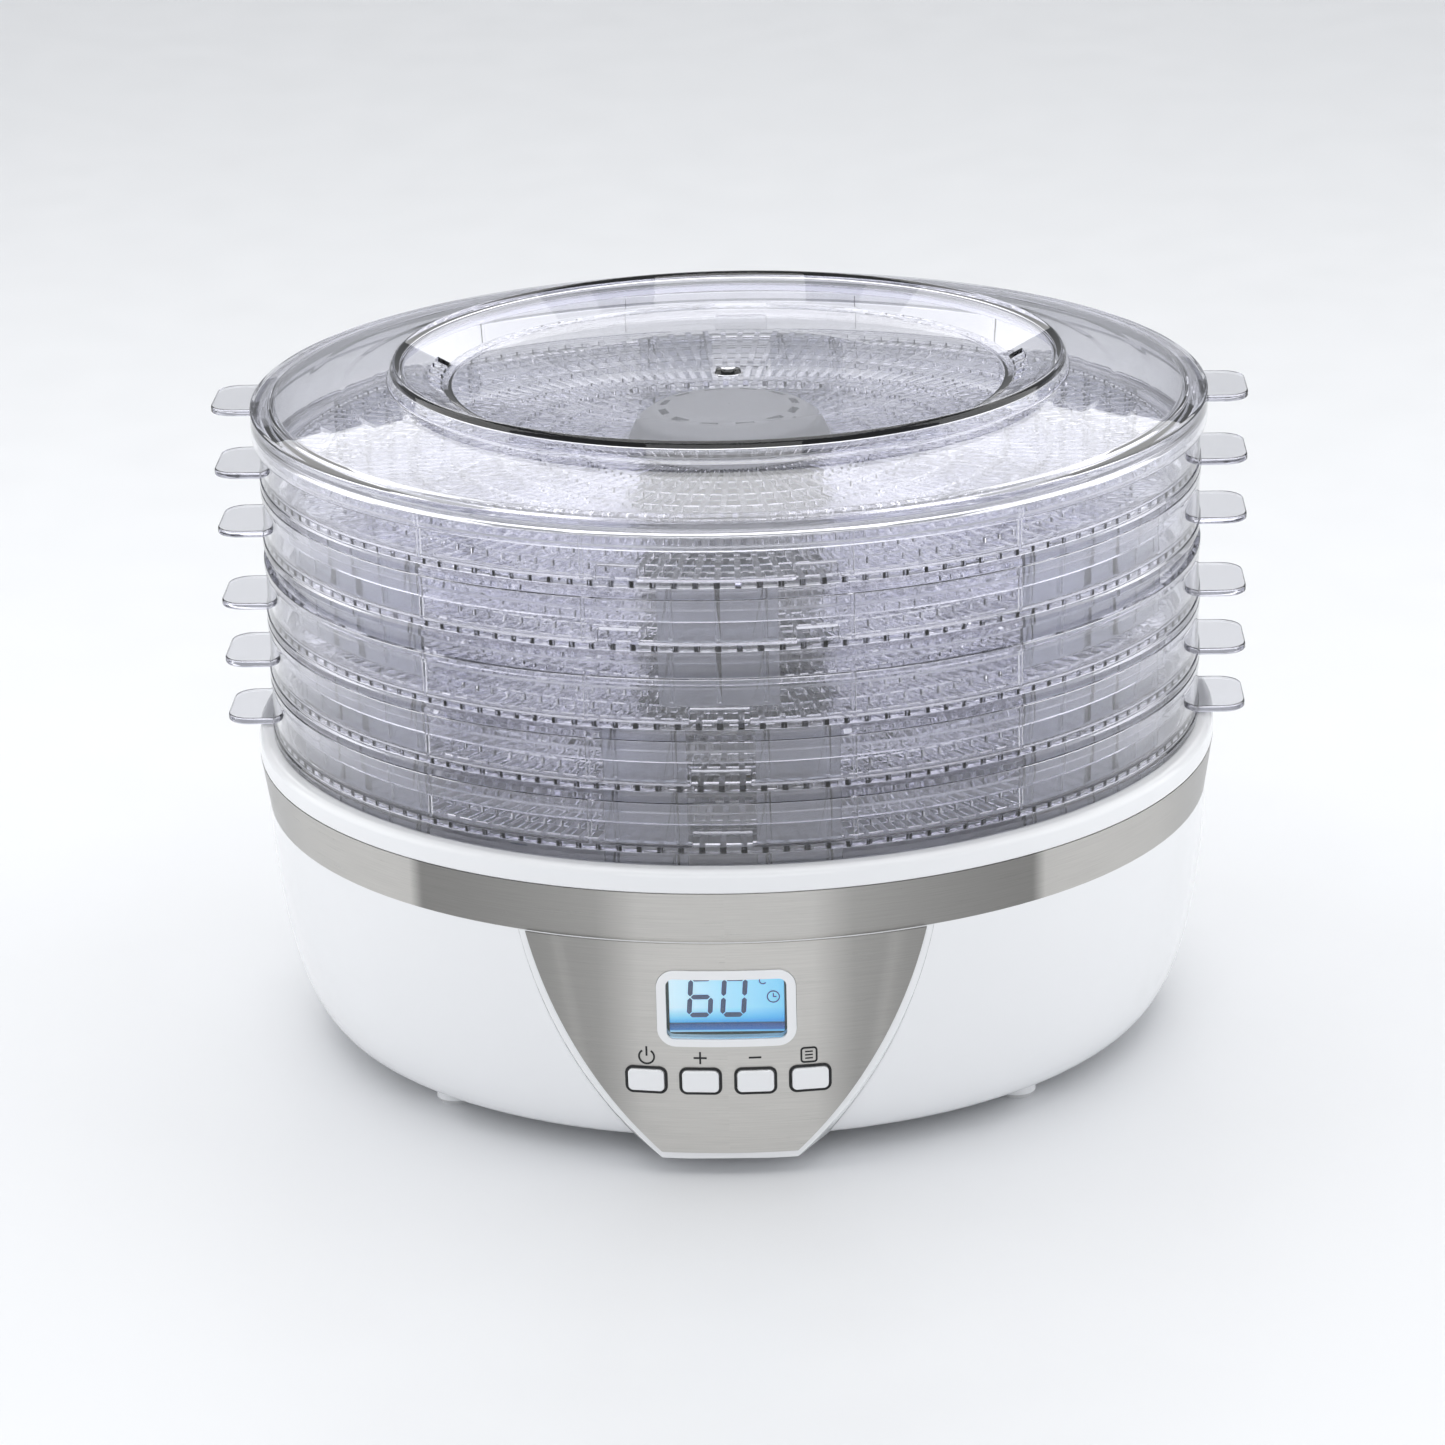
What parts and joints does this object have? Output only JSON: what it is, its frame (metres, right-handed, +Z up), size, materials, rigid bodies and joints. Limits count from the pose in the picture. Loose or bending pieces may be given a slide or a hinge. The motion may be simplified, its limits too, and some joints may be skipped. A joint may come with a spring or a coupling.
{
  "type": "food dehydrator",
  "caption": "Round electric food dehydrator: a white base with a steel band, fan, heater and lit control panel, under a stack of clear lift-off trays and a clear lid.",
  "frame": {"origin": "on the table surface, below the centre of the round base", "axes": "+Z up the axis of the tray stack, the control panel faces -Y, the tray tabs point along +X and -X"},
  "size_m": [0.347, 0.326, 0.2309],
  "materials": {
    "white_abs": "high gloss white ABS",
    "clear_san": "clear SAN with a faint violet-blue tint",
    "brushed_stainless": "fine horizontal brushing",
    "zinc_steel": "zinc-plated",
    "black_print": "matt black",
    "clear_lens": "clear polycarbonate lens",
    "lcd_glass": "lit pale blue display glass",
    "backlight_white": "diffusing white",
    "pcb_green": "solder resist",
    "component_black": "moulded case",
    "relay_blue": "moulded case",
    "copper_winding": "enamelled copper",
    "aluminium_sheet": "mill finish",
    "element_steel": "heat-darkened sheath",
    "mica": "mica board",
    "grey_rubber": "soft light grey rubber",
    "bronze": "sintered bronze",
    "fan_nylon": "glass-filled nylon"
  },
  "bodies": {
    "base": {"air_duct": "aluminium_sheet", "air_grille": "white_abs", "base_bowl": "white_abs", "bottom_cover": "white_abs", "button_surrounds": "black_print", "button_switches": "component_black", "cable_inlet": "black_print", "control_board": "pcb_green", "control_board_screws": "zinc_steel", "control_pod": "white_abs", "cover_screws": "zinc_steel", "deck_screws": "zinc_steel", "display_bezel": "white_abs", "display_window": "clear_lens", "feet": "white_abs", "foot_pads": "grey_rubber", "heater_element": "element_steel", "heater_frame": "mica", "lcd_backlight": "backlight_white", "lcd_module": "lcd_glass", "mains_terminals": "component_black", "motor_bracket": "aluminium_sheet", "motor_bushes": "bronze", "motor_can": "zinc_steel", "motor_screws": "zinc_steel", "motor_stator": "copper_winding", "power_board": "pcb_green", "power_board_screws": "zinc_steel", "power_capacitor": "component_black", "power_relay": "relay_blue", "power_transformer": "copper_winding", "rim_ring": "white_abs", "steel_band": "brushed_stainless", "steel_fascia": "brushed_stainless", "temperature_sensor": "component_black", "thermal_cutout": "aluminium_sheet", "top_deck": "white_abs"},
    "fan": {"fan_shaft": "zinc_steel", "fan_impeller": "fan_nylon", "fan_nut": "zinc_steel", "motor_rotor": "element_steel"},
    "button_power": {"button_power": "white_abs"},
    "button_plus": {"button_plus": "white_abs"},
    "button_minus": {"button_minus": "white_abs"},
    "button_menu": {"button_menu": "white_abs"},
    "tray_5": {"tray_5": "clear_san"},
    "tray_4": {"tray_4": "clear_san"},
    "tray_3": {"tray_3": "clear_san"},
    "tray_2": {"tray_2": "clear_san"},
    "tray_1": {"tray_1": "clear_san"},
    "lid": {"lid": "clear_san"}
  },
  "joints": [
    {"name": "tray_5_lift", "type": "slide", "parent": "base", "child": "tray_5", "axis": [0, 0, 1], "range_m": [0, 0.06]},
    {"name": "tray_4_lift", "type": "slide", "parent": "tray_5", "child": "tray_4", "axis": [0, 0, 1], "range_m": [0, 0.06]},
    {"name": "tray_3_lift", "type": "slide", "parent": "tray_4", "child": "tray_3", "axis": [0, 0, 1], "range_m": [0, 0.06]},
    {"name": "tray_2_lift", "type": "slide", "parent": "tray_3", "child": "tray_2", "axis": [0, 0, 1], "range_m": [0, 0.06]},
    {"name": "tray_1_lift", "type": "slide", "parent": "tray_2", "child": "tray_1", "axis": [0, 0, 1], "range_m": [0, 0.06]},
    {"name": "lid_lift", "type": "slide", "parent": "tray_1", "child": "lid", "axis": [0, 0, 1], "range_m": [0, 0.06]},
    {"name": "fan_spin", "type": "hinge", "parent": "base", "child": "fan", "pos_m": [0, 0, 0.055], "axis": [0, 0, 1], "continuous": true},
    {"name": "button_power_press", "type": "slide", "parent": "base", "child": "button_power", "axis": [0.1632, 0.9857, 0.0411], "range_m": [0, 0.0006], "stiffness_N_per_m": 1500, "springref_m": -0.0002},
    {"name": "button_plus_press", "type": "slide", "parent": "base", "child": "button_plus", "axis": [0.0547, 0.9977, 0.0411], "range_m": [0, 0.0006], "stiffness_N_per_m": 1500, "springref_m": -0.0002},
    {"name": "button_minus_press", "type": "slide", "parent": "base", "child": "button_minus", "axis": [-0.0547, 0.9977, 0.0411], "range_m": [0, 0.0006], "stiffness_N_per_m": 1500, "springref_m": -0.0002},
    {"name": "button_menu_press", "type": "slide", "parent": "base", "child": "button_menu", "axis": [-0.1632, 0.9857, 0.0411], "range_m": [0, 0.0006], "stiffness_N_per_m": 1500, "springref_m": -0.0002}
  ]
}
